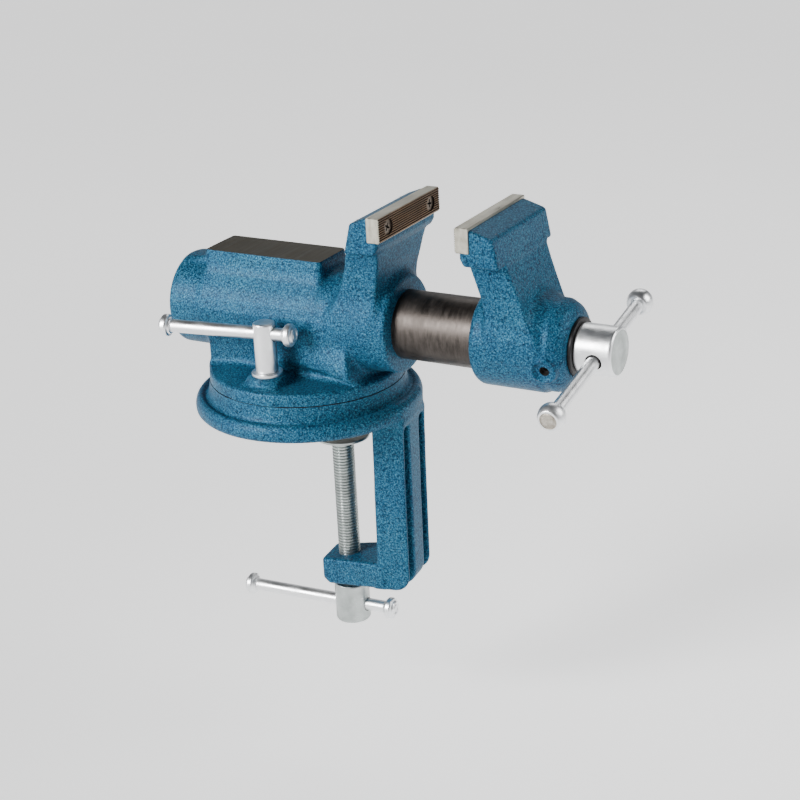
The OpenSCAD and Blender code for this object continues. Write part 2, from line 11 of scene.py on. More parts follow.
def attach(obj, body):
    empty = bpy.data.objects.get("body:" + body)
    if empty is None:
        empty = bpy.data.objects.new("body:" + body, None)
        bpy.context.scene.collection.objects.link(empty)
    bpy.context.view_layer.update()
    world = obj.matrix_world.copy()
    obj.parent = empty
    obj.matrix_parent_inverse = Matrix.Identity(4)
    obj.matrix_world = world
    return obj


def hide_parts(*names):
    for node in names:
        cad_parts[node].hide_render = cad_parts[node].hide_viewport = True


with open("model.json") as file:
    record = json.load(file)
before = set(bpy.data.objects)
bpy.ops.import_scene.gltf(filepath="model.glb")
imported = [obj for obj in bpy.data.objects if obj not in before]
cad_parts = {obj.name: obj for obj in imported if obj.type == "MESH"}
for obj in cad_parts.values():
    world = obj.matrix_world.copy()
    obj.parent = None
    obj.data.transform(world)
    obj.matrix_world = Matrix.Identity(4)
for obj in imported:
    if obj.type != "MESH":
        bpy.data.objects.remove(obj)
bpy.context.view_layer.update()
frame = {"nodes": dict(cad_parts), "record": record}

# Shapes are made in millimetres in the frame's own axes, and scaled to metres when a mesh is made.
MM = 0.001
TINY = 1e-6

# Heights and stations shared by several pieces
AXIS_Z = 60.1
SEAM_Z = 19.5
SEAM_GAP = 0.25
BASE_TURN = math.radians(6)
ANVIL_Z = 97.7
BARREL_REAR_X = -81.5
BOSS_FACE_X = 73.4
HUB_REAR_X = 126.9
HUB_FACE_X = 184.9
SEAT_END_X = 167.9

# Slide tube, main screw, and the set screw that holds the main screw in the hub
TUBE_R = 21
SCREW_R = 9
SCREW_PITCH = 4.0
HEAD_R = 14.7
SET_X = 174.7
SET_TILT = math.radians(16)

# Jaw plates, and the blocks that they are screwed to
JAW_HALF = 36.5
PLATE_HALF = 37.5
PLATE_LOW, PLATE_TOP = 120.8, 135.7
PLATE_MID_Z = (PLATE_LOW + PLATE_TOP) / 2
PLATE_T = 8.7
PLATE_SCREW_Y = 26
FIXED_FACE_X, MOVING_FACE_X = 78.5, 126.3

# Clamp screw
CLAMP_R = 7.0
CLAMP_PITCH = 2.0
CLAMP_HEAD_R = 11.3

# Swivel lock
LOCK_X, LOCK_Y = -1.5, -43.0
LOCK_R = 6.75

# Turn that lays a shape's Z axis along X, and no turn
TO_X = Matrix(((0, 0, 1), (1, 0, 0), (0, 1, 0)))
UPRIGHT = Matrix.Identity(3)

# Where the middle of each T-bar's hole is, and how the bar is turned from the X axis
BAR_R = 4
BAR_HOLE_R = 4.06
MAIN_AT = Vector((199.7, 0, AXIS_Z))
MAIN_TURN = (Matrix.Rotation(math.radians(90), 3, "Z")
             @ Matrix.Rotation(math.radians(-11), 3, "Y"))
LOCK_AT = Vector((LOCK_X, LOCK_Y, 58.8))
LOCK_TURN = Matrix.Rotation(math.radians(8), 3, "Z")
CLAMP_AT = Matrix.Rotation(BASE_TURN, 3, "Z") @ Vector((21, 0, -139.5))
CLAMP_TURN = Matrix.Rotation(math.radians(3.4), 3, "Z")

# Numbers of a casting's materials
SKIN, CUT, FLAT = 0, 1, 2


# ---------------------------------------------------------------- materials

def rgb(red, green, blue):
    """Linear colour from 0-255 sRGB."""
    out = []
    for value in (red, green, blue):
        v = value / 255
        out.append(v / 12.92 if v <= 0.04045 else ((v + 0.055) / 1.055) ** 2.4)
    return (*out, 1.0)


class Graph:
    """A material's node tree, with short calls to add and link nodes."""

    def __init__(self, name, **shader):
        self.material = bpy.data.materials.new(name)
        self.material.use_nodes = True
        self.tree = self.material.node_tree
        self.shader = self.tree.nodes["Principled BSDF"]
        for key, value in shader.items():
            self.shader.inputs[key.replace("_", " ")].default_value = value
        self.place = self.add("ShaderNodeTexCoord").outputs["Object"]

    def feed(self, socket, value):
        if isinstance(value, bpy.types.NodeSocket):
            self.tree.links.new(value, socket)
        else:
            socket.default_value = value

    def add(self, kind, ins=None, **props):
        node = self.tree.nodes.new(kind)
        for key, value in props.items():
            setattr(node, key, value)
        for key, value in (ins or {}).items():
            self.feed(node.inputs[key], value)
        return node

    def wire(self, socket, name):
        self.tree.links.new(socket, self.shader.inputs[name])

    def stretched(self, scale):
        return self.add("ShaderNodeMapping", {"Vector": self.place, "Scale": scale}).outputs[0]

    def noise(self, scale, detail=2.0, vector=None, rough=0.5):
        ins = {"Vector": vector or self.place, "Scale": scale, "Detail": detail,
               "Roughness": rough}
        return self.add("ShaderNodeTexNoise", ins).outputs["Fac"]

    def ramp(self, fac, stops):
        node = self.add("ShaderNodeValToRGB", {"Fac": fac})
        elements = node.color_ramp.elements
        while len(elements) < len(stops):
            elements.new(0.5)
        for element, (at, colour) in zip(elements, stops):
            element.position = at
            element.color = colour
        return node.outputs["Color"]

    def grey(self, fac, low, high, at=(0.0, 1.0)):
        """A number from low to high as fac passes through the range at."""
        ins = {"Value": fac, "From Min": at[0], "From Max": at[1], "To Min": low, "To Max": high}
        return self.add("ShaderNodeMapRange", ins).outputs["Result"]

    def mix(self, fac, a, b, blend="MIX"):
        node = self.add("ShaderNodeMix", data_type="RGBA", blend_type=blend)
        # The sockets for colours stand at these places in the node's list
        for number, value in ((0, fac), (6, a), (7, b)):
            self.feed(node.inputs[number], value)
        return node.outputs[2]

    def bump(self, height, strength, distance):
        ins = {"Height": height, "Strength": strength, "Distance": distance}
        self.wire(self.add("ShaderNodeBump", ins).outputs["Normal"], "Normal")


def hammertone():
    """Blue hammered enamel: cells lighter in the middle and darker at the edges, with the light
    middles partly painted highlights, and light flecks that are partly metal pigment and partly
    painted glints.
    """
    cell_scale, fleck_scale, warp_scale, shade_scale = 760.0, 1250.0, 420.0, 22.0
    warp_reach = 0.0016
    g = Graph("hammertone_blue", Metallic=0.3, Roughness=0.45, Coat_Weight=0.03,
              Coat_Roughness=0.2, Specular_IOR_Level=0.08)
    warp = g.add("ShaderNodeTexNoise", {"Vector": g.place, "Scale": warp_scale, "Detail": 2.0})
    shift = g.add("ShaderNodeVectorMath", {0: warp.outputs["Color"], 1: (warp_reach,) * 3},
                  operation="MULTIPLY").outputs[0]
    place = g.add("ShaderNodeVectorMath", {0: g.place, 1: shift}, operation="ADD").outputs[0]
    cells = g.add("ShaderNodeTexVoronoi", {"Vector": place, "Scale": cell_scale,
                                           "Randomness": 1.0},
                  feature="F1").outputs["Distance"]
    fine = g.noise(fleck_scale, 3.0, rough=0.6)
    # Painted highlights and glints: the light cell middles and the light flecks are partly the
    # paint's own pigment and partly highlights painted into the colour
    base = g.ramp(cells, [(0.0, rgb(68, 132, 158)), (0.22, rgb(44, 104, 132)),
                          (0.48, rgb(24, 70, 98)), (0.85, rgb(6, 32, 54))])
    flecks_and_glints = g.ramp(fine, [(0.34, rgb(5, 26, 46)), (0.5, rgb(30, 80, 110)),
                           (0.68, rgb(108, 172, 196))])
    colour = g.mix(0.33, base, flecks_and_glints)
    wide = g.noise(shade_scale, 2.0)
    tint = g.ramp(wide, [(0.3, (0.80, 0.84, 0.90, 1)), (0.7, (1.12, 1.10, 1.06, 1))])
    g.wire(g.mix(1.0, colour, tint, "MULTIPLY"), "Base Color")
    g.wire(g.grey(fine, 0.34, 0.6, (0.3, 0.7)), "Roughness")
    height = g.add("ShaderNodeMath", {0: cells, 1: fine}, operation="ADD").outputs[0]
    g.bump(height, 0.55, 0.0004)
    return g.material


def machined(name, dark, light, grain, rough, metallic=0.9, bump=0.05, scale=(1, 1, 1)):
    """Cut or ground steel with faint stains, and fine lines along the axes whose scale is
    small."""
    g = Graph(name, Metallic=metallic, Roughness=0.4)
    lines = g.noise(grain, 3.0, g.stretched(scale), 0.65)
    stain = g.noise(70.0, 4.0, rough=0.6)
    tone = g.mix(0.35, g.ramp(lines, [(0.3, dark), (0.7, light)]),
                 g.ramp(stain, [(0.35, dark), (0.65, light)]))
    g.wire(tone, "Base Color")
    g.wire(g.grey(lines, rough - 0.09, rough + 0.12, (0.3, 0.7)), "Roughness")
    g.bump(lines, bump, 0.0002)
    return g.material


def plating(name, tint, rough, wear):
    """Zinc plate with soft reflections, faint clouding and small pits."""
    g = Graph(name, Metallic=1.0, Roughness=rough)
    cloud = g.noise(110.0, 4.0, rough=0.6)
    pits = g.noise(500.0, 2.0)
    low = tuple(c * (1 - wear) for c in tint[:3]) + (1.0,)
    g.wire(g.ramp(cloud, [(0.32, low), (0.62, tint)]), "Base Color")
    g.wire(g.grey(cloud, rough + 0.12, rough - 0.04, (0.35, 0.65)), "Roughness")
    g.bump(pits, 0.05, 0.00003)
    return g.material


def dull(name, tint, rough, metallic=0.0):
    """Blackened steel, plastic or raw brass, with fine mottling."""
    g = Graph(name, Metallic=metallic, Roughness=rough)
    fine = g.noise(420.0, 3.0)
    low = tuple(c * 0.6 for c in tint[:3]) + (1.0,)
    high = tuple(min(1.0, c * 1.3) for c in tint[:3]) + (1.0,)
    g.wire(g.ramp(fine, [(0.3, low), (0.7, high)]), "Base Color")
    g.wire(g.grey(fine, rough - 0.08, rough + 0.1, (0.3, 0.7)), "Roughness")
    g.bump(fine, 0.12, 0.0002)
    return g.material


ENAMEL = hammertone()
CUT_STEEL = machined("cut_iron", rgb(48, 46, 45), rgb(96, 92, 88), 260.0, 0.45, 0.7)
ANVIL_STEEL = machined("anvil_face", rgb(52, 50, 42), rgb(76, 72, 62), 240.0, 0.5, 0.75,
                       0.04, (1, 0.06, 1))
TUBE_STEEL = machined("turned_tube", rgb(50, 46, 43), rgb(86, 80, 76), 560.0, 0.42, 0.95,
                      0.1, (1, 0.22, 0.22))
PLATE_STEEL = machined("ground_plate", rgb(150, 146, 132), rgb(206, 203, 190), 300.0, 0.36, 1.0,
                       0.05, (1, 0.08, 0.5))
TOOTH_STEEL = machined("serrated_face", rgb(18, 12, 8), rgb(48, 34, 25), 330.0, 0.5, 0.6,
                       0.06, (1, 0.1, 1))
CREST_STEEL = machined("tooth_crests", rgb(84, 62, 40), rgb(150, 118, 84), 330.0, 0.42, 0.7,
                       0.06, (1, 0.1, 1))
SCREW_STEEL = machined("screw_heads", rgb(60, 52, 46), rgb(134, 120, 106), 420.0, 0.36, 0.9,
                       0.08)
CHROME = plating("bright_zinc", rgb(246, 247, 248), 0.32, 0.07)
SATIN = plating("satin_zinc", rgb(186, 192, 190), 0.31, 0.25)
RIVET = machined("riveted_end", rgb(120, 110, 96), rgb(205, 200, 190), 500.0, 0.5, 0.8, 0.15)
BLACK = dull("blackened_steel", rgb(34, 33, 34), 0.42, 0.6)
RUBBER = dull("black_plastic", rgb(26, 26, 27), 0.5)
BRASS = dull("raw_brass", rgb(176, 140, 74), 0.35, 1.0)


# ---------------------------------------------------------------- mesh helpers

def make_mesh(name, points, faces, materials, indices=None):
    mesh = bpy.data.meshes.new(name)
    mesh.from_pydata([tuple(float(c) * MM for c in p) for p in points], [],
                     [tuple(int(i) for i in f) for f in faces])
    for material in materials:
        mesh.materials.append(material)
    if indices is not None:
        mesh.polygons.foreach_set("material_index", np.asarray(indices, np.int32))
    mesh.update()
    work = bmesh.new()
    work.from_mesh(mesh)
    bmesh.ops.recalc_face_normals(work, faces=work.faces)
    if work.calc_volume(signed=True) < 0:
        bmesh.ops.reverse_faces(work, faces=work.faces)
    work.to_mesh(mesh)
    work.free()
    return mesh


def place_mesh(name, mesh):
    obj = bpy.data.objects.new(name, mesh)
    bpy.context.collection.objects.link(obj)
    return obj


def shade(obj, degrees):
    obj.data.polygons.foreach_set("use_smooth", np.ones(len(obj.data.polygons), bool))
    obj.data.set_sharp_from_angle(angle=math.radians(degrees))


def soften(points, radius, steps):
    """The closed outline with its corners replaced by arcs of up to that radius."""
    nearly_straight = math.radians(172)
    out = []
    for i, corner in enumerate(points):
        p = Vector(corner)
        a, b = Vector(points[i - 1]) - p, Vector(points[(i + 1) % len(points)]) - p
        angle = a.angle(b)
        if angle > nearly_straight:
            out.append(tuple(p))
            continue
        back = min(radius / math.tan(angle / 2), a.length * 0.45, b.length * 0.45)
        start, end = p + a.normalized() * back, p + b.normalized() * back
        for k in range(steps + 1):
            t = k / steps
            out.append(tuple(start * (1 - t) ** 2 + p * 2 * t * (1 - t) + end * t * t))
    return out


def turned(rows, segments, pitch=1.0, depth=0.0, ring=False):
    """Points and faces of a solid of revolution about Z, whose threaded rows follow a helix.
    Rows are (radius, height, share of the thread's depth). They start and end on the axis,
    or a ring's rows are a closed loop."""
    # Section of the thread over one pitch: how wide its floor is, how steep its flanks are
    floor_width, flank_slope = 1.35, 4.6
    points, rings = [], []
    for radius, height, share in rows:
        if radius < TINY:
            rings.append([len(points)] * segments)
            points.append((0, 0, height))
            continue
        rings.append([len(points) + j for j in range(segments)])
        for j in range(segments):
            phase = (height / pitch - j / segments) % 1.0
            groove = min(1.0, max(0.0, floor_width - abs(phase - 0.5) * flank_slope))
            r = radius - depth * share * groove
            a = 2 * math.pi * j / segments
            points.append((r * math.cos(a), r * math.sin(a), height))
    faces = []
    for low, high in list(zip(rings, rings[1:])) + ([(rings[-1], rings[0])] if ring else []):
        for j in range(segments):
            k = (j + 1) % segments
            face = list(dict.fromkeys((low[j], low[k], high[k], high[j])))
            if len(face) > 2:
                faces.append(face)
    return points, faces


def lathe(profile, segments=96, ring=False):
    """A plain solid of revolution about Z, from (radius, height) pairs."""
    return turned([(radius, height, 0) for radius, height in profile], segments, ring=ring)


def prism(outline, low, high):
    """Points and faces of a straight solid over an outline, from height low to high along Z."""
    count = len(outline)
    points = [(u, v, low) for u, v in outline] + [(u, v, high) for u, v in outline]
    faces = [list(range(count))[::-1], [count + i for i in range(count)]]
    faces += [[i, (i + 1) % count, count + (i + 1) % count, count + i] for i in range(count)]
    return points, faces


def block(low, high):
    outline = [(low[0], low[1]), (high[0], low[1]), (high[0], high[1]), (low[0], high[1])]
    return prism(outline, low[2], high[2])


def merged(shapes):
    points, faces = [], []
    for more_points, more_faces in shapes:
        start = len(points)
        points += [tuple(p) for p in more_points]
        faces += [[start + i for i in f] for f in more_faces]
    return points, faces


def moved(shape, turn=UPRIGHT, move=(0, 0, 0)):
    """The shape turned about the origin, then moved."""
    points = np.asarray(shape[0], float) @ np.array(turn).T + np.array(Vector(move))
    return [tuple(p) for p in points], shape[1]


def facing(sign):
    """Turn that points a shape's Z axis along +X or -X."""
    return TO_X if sign > 0 else Matrix.Rotation(math.pi, 3, "Z") @ TO_X


def cut(obj, shapes, index=CUT):
    """Cuts the shapes out of the piece. The new faces take the piece's material number index."""
    for shape in shapes:
        mesh = make_mesh("cutter", *shape, obj.data.materials, [index] * len(shape[1]))
        tool = place_mesh("cutter", mesh)
        step = obj.modifiers.new("cut", "BOOLEAN")
        step.operation = "DIFFERENCE"
        step.solver = "MANIFOLD"
        step.object = tool
        bpy.context.view_layer.update()
        result = bpy.data.meshes.new_from_object(
            obj.evaluated_get(bpy.context.evaluated_depsgraph_get()))
        obj.modifiers.clear()
        result.name = obj.name
        obj.data = result
        bpy.data.objects.remove(tool)


BODY_OF = {node: body for body, nodes in frame["record"]["behaviour"]["bodies"].items()
           for node in nodes}


def settle(obj, node):
    """The piece rides on the CAD node's body and stands for the node."""
    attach(obj, BODY_OF[node])
    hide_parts(node)


def build(name, shape, node, materials, turn=UPRIGHT, move=(0, 0, 0), angle=32, cuts=()):
    """One finished piece. The cuts are shapes taken out of it once it is in place."""
    obj = place_mesh(name, make_mesh(name, *moved(shape, turn, move), materials))
    cut(obj, cuts)
    shade(obj, angle)
    settle(obj, node)
    return obj


# ---------------------------------------------------------------- casting fields

def fuse(a, b, radius):
    """Union of two distance fields with a fillet of that radius."""
    u, v = np.maximum(radius - a, 0), np.maximum(radius - b, 0)
    return np.maximum(radius, np.minimum(a, b)) - np.sqrt(u * u + v * v)


def meet(a, b, radius):
    """Intersection of two distance fields with an edge rounded to that radius."""
    u, v = np.maximum(radius + a, 0), np.maximum(radius + b, 0)
    return np.minimum(-radius, np.maximum(a, b)) + np.sqrt(u * u + v * v)


def outline_field(points, u, v):
    """Distance to a closed outline in two coordinates, negative inside."""
    best = np.full(np.broadcast(u, v).shape, 1e9, np.float32)
    inside = np.zeros(best.shape, bool)
    for i, (ax, ay) in enumerate(points):
        bx, by = points[(i + 1) % len(points)]
        ex, ey = bx - ax, by - ay
        t = np.clip(((u - ax) * ex + (v - ay) * ey) / (ex * ex + ey * ey), 0, 1)
        best = np.minimum(best, (u - ax - t * ex) ** 2 + (v - ay - t * ey) ** 2)
        if ey:
            crosses = (ay > v) != (by > v)
            inside ^= crosses & (u < ex * (v - ay) / ey + ax)
    best = np.sqrt(best)
    return np.where(inside, -best, best).astype(np.float32)


def blurred(field):
    """The field smoothed by a small kernel, which rounds every edge a little, as on a casting."""
    for axis in range(3):
        last = field.shape[axis] - 1
        before = np.take(field, [0, *range(last)], axis)
        after = np.take(field, [*range(1, last + 1), last], axis)
        field = field * 0.5 + (before + after) * 0.25
    return field


def grid(low, high, step):
    axes = [np.arange(a, b + step, step, dtype=np.float32) for a, b in zip(low, high)]
    return axes[0][:, None, None], axes[1][None, :, None], axes[2][None, None, :]


def skin(name, field, low, step, materials):
    """Mesh piece of a field's zero surface."""
    volume = openvdb.FloatGrid(3.0 * step)
    volume.copyFromArray(np.clip(field, -3 * step, 3 * step).astype(np.float32))
    points, quads = volume.convertToQuads(isovalue=0.0)
    points = np.asarray(points) * step + np.asarray(low, float)
    return place_mesh(name, make_mesh(name, points, quads, materials))


def crisp(obj):
    """Sharp edges only where cut faces end or turn, so that the cast skin stays smooth."""
    mesh = obj.data
    mesh.polygons.foreach_set("use_smooth", np.ones(len(mesh.polygons), bool))
    work = bmesh.new()
    work.from_mesh(mesh)
    limit = math.radians(30)
    for edge in work.edges:
        if len(edge.link_faces) == 2:
            a, b = edge.link_faces
            both_cut = a.material_index and b.material_index
            apart = a.material_index != b.material_index
            edge.smooth = not (apart or both_cut and edge.calc_face_angle(0) > limit)
    work.to_mesh(mesh)
    work.free()


def along(axis, points, values):
    """Value that changes along one coordinate, straight between the given points."""
    return np.interp(axis.ravel(), points, values).reshape(axis.shape).astype(np.float32)


def bored(profile):
    """A cutter about the main screw's axis, from (radius, x) pairs."""
    return moved(lathe(profile), TO_X, (0, 0, AXIS_Z))


# ---------------------------------------------------------------- body casting

def barrel_field(x, r):
    """Barrel with the boss that the slide tube comes out of."""
    barrel = meet(r - 29.0, np.maximum(BARREL_REAR_X - x, x - 62), 1.5)
    boss_r = along(x, [38, 57], [28.2, 29.9])
    boss = meet(r - boss_r, np.maximum(36 - x, x - BOSS_FACE_X), 2.4)
    return fuse(barrel, boss, 3)


def anvil_field(x, side, z):
    """Anvil block, whose flanks and front lean inwards. Its top is left high for the flat."""
    width = along(z, [60, 71, 75, 80, 85, 90, 98], [29, 25.6, 23.4, 20.7, 18.4, 17.0, 16])
    form = meet(side - width, z - (ANVIL_Z + 1.8), 1)
    form = meet(form, x - 23.9 - (ANVIL_Z - z) * 0.08, 3.5)
    form = meet(form, -58.7 - x, 1.2)
    return np.maximum(form, 55 - z)


def jaw_neck_field(x, side, z):
    rise = [60, 68, 80, 92, 100, 106, 110, 114]
    front = along(z, rise, [62, 64, 66, 68, 70, 71, 71.8, 72.4])
    back = along(z, rise, [33, 36, 40.5, 45, 47.5, 49, 50.4, 52])
    flank = along(z, rise, [26.3, 26.4, 26.6, 27.0, 28.0, 29.3, 30.6, 32.4])
    neck = meet(meet(np.maximum(back - x, x - front), side - flank, 1.3), z - 116, 1)
    return np.maximum(neck, 58 - z)


def pedestal_field(x, side, z, rr):
    """Pedestal under the barrel, with a skirt that flares out towards the front."""
    lip_z = along(x, [-60, 0, 12, 32, 46, 53], [36, 35.5, 36.3, 34.8, 32, 30.5])
    lip = along(x, [-60, -6, 12, 32, 46, 53], [0, 0, 2.6, 6.2, 8, 8.6])
    above = np.exp(-np.clip((z - lip_z) / 18, 0, 9) ** 2)
    below = np.clip(1 - (lip_z - z) / 4, 0, 1)
    flare = lip * np.where(z > lip_z, above, below * below * (3 - 2 * below))
    front = along(z, [28, 40, 64], [53, 49.5, 47])
    stand = meet(side - 27 - flare, x - front, 3)
    stand = meet(stand, rr - 60.7, 1)
    return np.maximum(stand, z - 62)


def foot_field(x, y, z, rr):
    """Round foot, higher towards the middle at the rear, with the pedestal and the lock's boss."""
    flat, lock_pad_z = 27.2, 32.7
    crown = 27.0 + np.clip((59 - rr) * 0.16, 0, 4)
    rear = np.clip((x + 12) / -20, 0, 1)
    top = crown * rear + flat * (1 - rear)
    foot = meet(rr - 61.3, z - top, 1.8)
    foot = fuse(foot, pedestal_field(x, np.abs(y), z, rr), 4)
    post = np.sqrt((x - LOCK_X) ** 2 + (y - LOCK_Y) ** 2) - 12
    pad = meet(post, z - lock_pad_z, 1.2)
    lean = (z - lock_pad_z) * 0.8 + (-y - 47.5) * 0.6
    web = meet(np.maximum(np.abs(x - LOCK_X) - 12.5 + (z - 27) * 0.4, y + 30), lean, 1.5)
    web = meet(web, rr - 61.0, 1.5)
    web = np.maximum(web, z - 31.5)
    return fuse(foot, fuse(pad, web, 2), 2.5)


def body_shape():
    low, high, step = (-86.0, -66.0, 15.0), (82.0, 66.0, 140.0), 0.85
    x, y, z = grid(low, high, step)
    side = np.abs(y)
    r = np.sqrt(y * y + (z - AXIS_Z) ** 2)
    rr = np.sqrt(x * x + y * y)
    form = fuse(barrel_field(x, r), anvil_field(x, side, z), 3.5)
    # Low ridges behind the anvil block, and between it and the jaw's neck
    heel = [(-78, 78), (-78, 88), (-66, 90.4), (-59, 94.5), (-56, 94.5), (-56, 78)]
    form = fuse(form, meet(outline_field(heel, x, z), side - 10, 2), 4)
    ramp = [(10, 55), (10, 84), (26, 83), (33, 80.5), (42, 79), (42, 55)]
    form = fuse(form, meet(outline_field(ramp, x, z), side - 12, 3), 4.5)
    form = fuse(form, jaw_neck_field(x, side, z), 7)
    form = fuse(form, foot_field(x, y, z, rr), 4)
    jaw = [(53, 111.9), (73, 112.6), (75.4, 116.8), (75.4, 124), (72, 124), (72, 134.7),
           (68.2, 134.7), (57.6, 130.6)]
    form = fuse(form, meet(outline_field(jaw, x, z), side - JAW_HALF, 1.0), 0.8)
    # Keep the fillets beside the barrel clear of the lock handle's knob
    limit = np.maximum(along(x, [24, 36], [29.7, 32.5]), along(z, [38, 44, 54], [90, 38, 29.7]))
    form = np.maximum(form, np.where(z < 75, side - limit, -9))
    obj = skin("fixed_body", blurred(form), low, step, [ENAMEL, CUT_STEEL, ANVIL_STEEL])
    cap_r, cap_seat_x, bore_r = 23.55, -78.1, 21.05
    bore = bored([(0, -95), (cap_r, -95), (cap_r, cap_seat_x), (bore_r, cap_seat_x),
                  (bore_r, 85), (0, 85)])
    lock_hole = lathe([(0, 10), (6.05, 10), (6.05, 40), (0, 40)], 64)
    plate_seat = block((69.8, -42, PLATE_LOW), (90, 42, 145))
    cut(obj, [block((-90, -70, 0), (90, 70, SEAM_Z + SEAM_GAP))])
    cut(obj, [block((-62, -24, ANVIL_Z), (28, 24, 108))], FLAT)
    cut(obj, [bore, moved(lock_hole, UPRIGHT, (LOCK_X, LOCK_Y, 0)), plate_seat])
    return obj


# ---------------------------------------------------------------- movable jaw and base

def movable_neck_field(x, y, z):
    """Neck of the movable jaw. Its flanks flare out towards the block, least at the rear edge
    nearest the set screw."""
    rise = [60, 69, 80, 92, 102, 112.6, 116]
    front = along(z, rise, [141, 139.5, 137.8, 136, 133.6, 131.4, 131])
    back = along(z, rise, [172.3, 169, 165, 160.6, 156.6, 152.6, 151.4])
    flare = along(z, rise, [0, 0, 0, 0.3, 2, 4.6, 6.2])
    taper = np.clip((back - x) / 22, 0, 1)
    flank = 26.6 + flare * np.where(y < 0, taper, 0.6 + 0.4 * taper)
    neck = meet(meet((x - back) * 0.93, np.abs(y) - flank, 0.3), front - x, 1.5)
    return np.maximum(neck, np.maximum(58 - z, z - 115))


def set_screw_pad_field(x, y, z):
    """Raised pad around the set screw, which points out and a little down."""
    out_y, out_z = -math.cos(SET_TILT), -math.sin(SET_TILT)
    reach = y * out_y + (z - AXIS_Z) * out_z
    away = np.sqrt((x - SET_X) ** 2 + (y - reach * out_y) ** 2
                   + (z - AXIS_Z - reach * out_z) ** 2)
    return np.maximum(meet(away - 7.6, reach - 28.6, 0.3), 5 - reach)


def jaw_shape():
    low, high, step = (122.0, -42.0, 26.0), (190.0, 42.0, 140.0), 0.75
    x, y, z = grid(low, high, step)
    r = np.sqrt(y * y + (z - AXIS_Z) ** 2)
    hub = [(-9, HUB_REAR_X), (25.2, HUB_REAR_X), (27.6, 127.9), (28.9, 130.4), (28.9, 168.6),
           (27.9, 170.4), (27.5, 172.4), (27.5, 176.3), (26.3, 178.4), (25.2, 180.8),
           (23.0, 182.9), (19.6, HUB_FACE_X), (-9, HUB_FACE_X)]
    form = fuse(outline_field(hub, r, x), movable_neck_field(x, y, z), 5)
    jaw = [(128.6, 124), (128.6, 116.8), (131, 112.6), (152.8, 112.4), (149.4, 129.2),
           (147.8, 130.4), (135.8, 134.1), (132, 134.1), (132, 124)]
    form = fuse(form, meet(outline_field(jaw, x, z), np.abs(y) - JAW_HALF, 1.0), 1.2)
    form = fuse(form, set_screw_pad_field(x, y, z), 0.8)
    obj = skin("movable_jaw", blurred(form), low, step, [ENAMEL, CUT_STEEL])
    turn = Matrix.Rotation(math.radians(90) + SET_TILT, 3, "X")
    spot = lathe([(0, 26.9), (6.7, 26.9), (7.4, 40), (0, 40)], 48)
    hole = lathe([(0, 3), (3.05, 3), (3.05, 40), (0, 40)], 48)
    tube_seat_r, screw_hole_r = 21.03, 9.05
    bore = bored([(0, 115), (tube_seat_r, 115), (tube_seat_r, SEAT_END_X),
                  (screw_hole_r, SEAT_END_X), (screw_hole_r, 195), (0, 195)])
    plate_seat = block((110, -42, PLATE_LOW), (135, 42, 145))
    cut(obj, [moved(spot, turn, (SET_X, 0, AXIS_Z))], SKIN)
    cut(obj, [bore, moved(hole, turn, (SET_X, 0, AXIS_Z)), plate_seat])
    return obj


def base_shape():
    low, high, step = (-76.0, -76.0, -127.0), (78.0, 76.0, 24.0), 0.85
    x, y, z = grid(low, high, step)
    side = np.abs(y)
    rr = np.sqrt(x * x + y * y)
    rim = [(-9, -2), (69.6, -2), (69.7, 0), (70.8, 0.5), (71.4, 1.6), (71.5, 5), (70.7, 7.8),
           (69.1, 9.9), (67.1, 10.6), (64.6, 8.4), (62.9, 11.2), (62.1, 15), (61.5, SEAM_Z),
           (61.5, 22), (-9, 22)]
    form = np.maximum(outline_field(rim, rr, z), -1.0 - z)
    # Clamp arm with a rounded lower corner, the lug that holds the screw, and two flutes
    corner = [(59.5 + 10.4 * math.sin(a), -106.1 - 11 * math.cos(a))
              for a in np.radians([90, 75, 60, 45, 30, 15, 0])]
    arm = [(48, -99.5), (49.5, -4), (49.5, 9), (71.6, 8), (70.5, -14), *corner, (45.5, -117.7)]
    stem = meet(outline_field(arm, x, z), side - 18.5, 1.4)
    lug = [(53, -99.4), (6.4, -104.5), (6.4, -118.4), (11, -122.0), (53, -116.8)]
    narrow = (side - 12.5 - (x - 7.4) * 6 / 42.1) * 0.99
    stem = fuse(stem, meet(outline_field(lug, x, z), narrow, 1.8), 1.6)
    flute = meet(meet(np.abs(side - 12) - 3.8, 63.5 - x, 1.2), z + 5.5, 2.0)
    stem = meet(stem, -flute, 1.0)
    stem = meet(stem, rr - 71.0 + np.minimum(z - 1, 0) * 1.5, 3)
    form = fuse(form, stem, 4)
    obj = skin("swivel_base", blurred(form), low, step, [ENAMEL, CUT_STEEL])
    arm_inner_x = 48.4
    well = lathe([(0, -5), (10, -5), (10, 10.7), (6.05, 10.7), (6.05, 30), (0, 30)])
    clamp_hole = lathe([(0, -135), (7.05, -135), (7.05, -90), (0, -90)], 64)
    cut(obj, [block((-90, -90, SEAM_Z - SEAM_GAP), (90, 90, 40)),
              block((-90, -90, -3), (arm_inner_x, 90, 0)),
              well, moved(clamp_hole, UPRIGHT, (21, 0, 0))])
    obj.data.transform(Matrix.Rotation(BASE_TURN, 4, "Z"))
    return obj


def castings():
    for maker, node in ((body_shape, "body_casting"), (jaw_shape, "jaw_casting"),
                        (base_shape, "base_casting")):
        obj = maker()
        crisp(obj)
        settle(obj, node)


# ---------------------------------------------------------------- T-bars and their knobs

def t_bar(name, length, node, turn, middle):
    """Round bar with a thinner tenon riveted into the knob at each end."""
    tenon_r = 2.95
    end = [(BAR_R, length / 2 - 4.4), (3.6, length / 2 - 4), (tenon_r, length / 2 - 4),
           (tenon_r, length / 2 + 3.0), (2.2, length / 2 + 3.5), (0, length / 2 + 3.5)]
    profile = [(r, -t) for r, t in reversed(end)] + end
    build(name, lathe(profile, 64), node, [CHROME], turn @ TO_X, middle)


